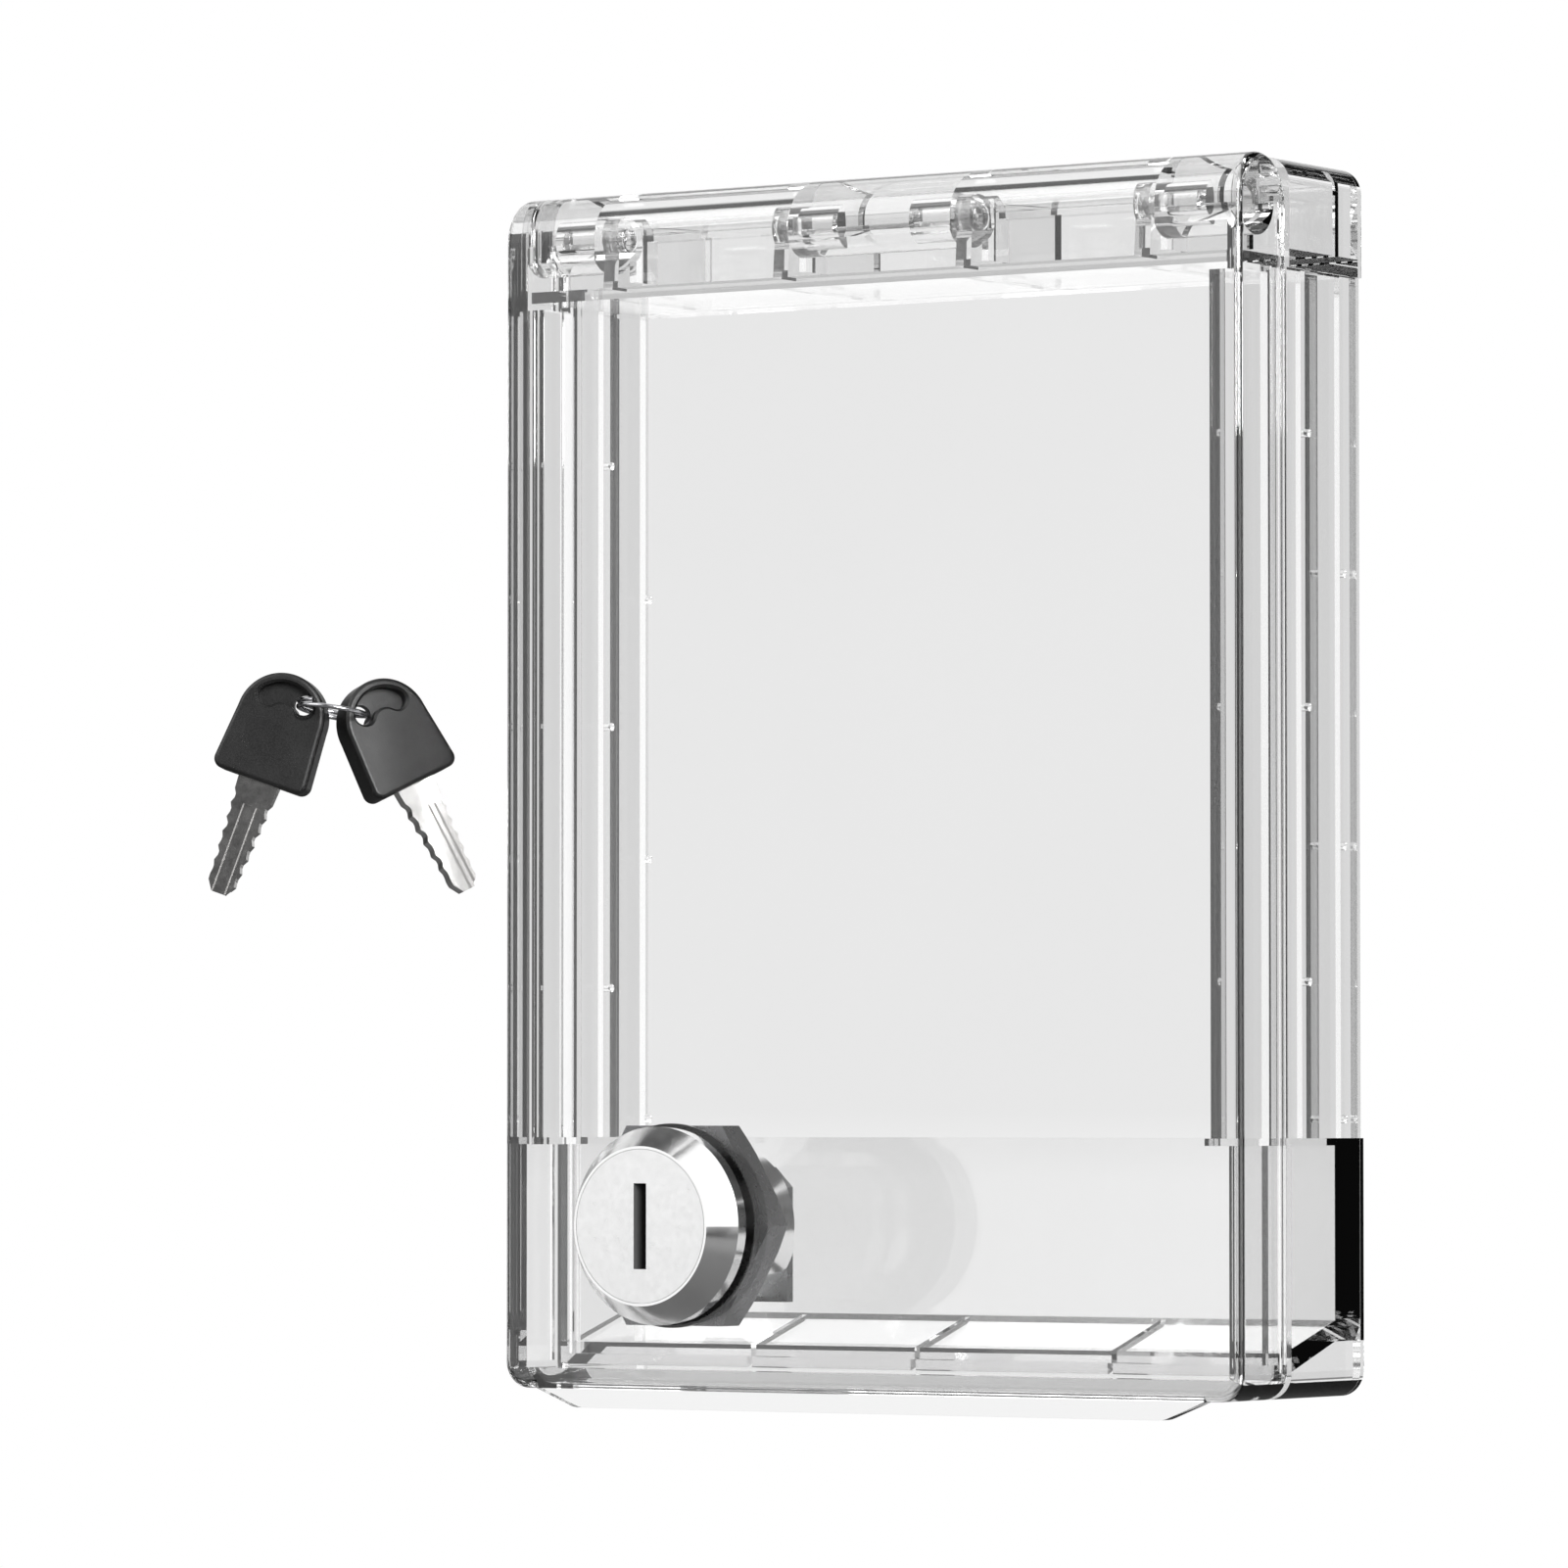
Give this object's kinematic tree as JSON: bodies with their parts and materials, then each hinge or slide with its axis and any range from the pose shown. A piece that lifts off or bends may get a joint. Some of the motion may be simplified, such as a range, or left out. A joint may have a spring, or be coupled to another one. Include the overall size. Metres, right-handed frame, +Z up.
{
  "type": "splashproof switch cover",
  "caption": "Clear plastic splashproof cover for a wall switch: open-backed frame, lid hinged along its round top, corner cam lock and keys.",
  "frame": {"origin": "middle of the frame's wall face, at the back of its adhesive tape", "axes": "+Z up, +Y into the wall, +X to the right as seen from the front"},
  "size_m": [0.1387, 0.0318, 0.1391],
  "materials": {
    "clear_plastic": "gloss",
    "gel_tape": "gloss",
    "chrome_plate": "polished",
    "nut_steel": "satin",
    "zinc_steel": "satin",
    "brass": "satin",
    "bow_plastic": "matt",
    "blade_nickel": "polished"
  },
  "bodies": {
    "base": {"base_frame": "clear_plastic", "wall_tape": "gel_tape", "hinge_pin_1": "clear_plastic", "hinge_pin_2": "clear_plastic", "hinge_pin_3": "clear_plastic", "hinge_pin_4": "clear_plastic"},
    "lid": {"lid": "clear_plastic", "lock_housing": "chrome_plate", "lock_washer": "nut_steel", "lock_nut": "nut_steel"},
    "plug": {"lock_plug": "chrome_plate", "wafer_1": "brass", "wafer_2": "brass", "wafer_3": "brass", "wafer_4": "brass", "wafer_springs": "zinc_steel", "stop_washer": "zinc_steel", "cam": "zinc_steel", "cam_washer": "zinc_steel", "cam_screw": "zinc_steel"},
    "keyring": {"key_ring": "zinc_steel"},
    "key_left": {"key_bow_left": "bow_plastic", "key_blade_left": "blade_nickel"},
    "key_right": {"key_bow_right": "bow_plastic", "key_blade_right": "blade_nickel"}
  },
  "joints": [
    {"name": "lid_hinge", "type": "hinge", "parent": "base", "child": "lid", "pos_m": [0, -0.0217, 0.0632], "axis": [-1, 0, 0], "range_deg": [0, 110]},
    {"name": "lock_turn", "type": "hinge", "parent": "lid", "child": "plug", "pos_m": [-0.0268, -0.03, -0.0498], "axis": [0, 1, 0], "range_deg": [0, 90]},
    {"name": "keys_lift", "type": "slide", "parent": "base", "child": "keyring", "axis": [0, 0, 1], "range_m": [0, 0.03]},
    {"name": "key_left_swing", "type": "hinge", "parent": "keyring", "child": "key_left", "pos_m": [-0.07983, -0.02385, 0.01072], "axis": [-0.4216, 0.9041, -0.0698], "range_deg": [0, 25]},
    {"name": "key_right_swing", "type": "hinge", "parent": "keyring", "child": "key_right", "pos_m": [-0.07497, -0.01955, 0.00958], "axis": [0.8352, -0.5219, 0.1736], "range_deg": [0, 25]}
  ]
}
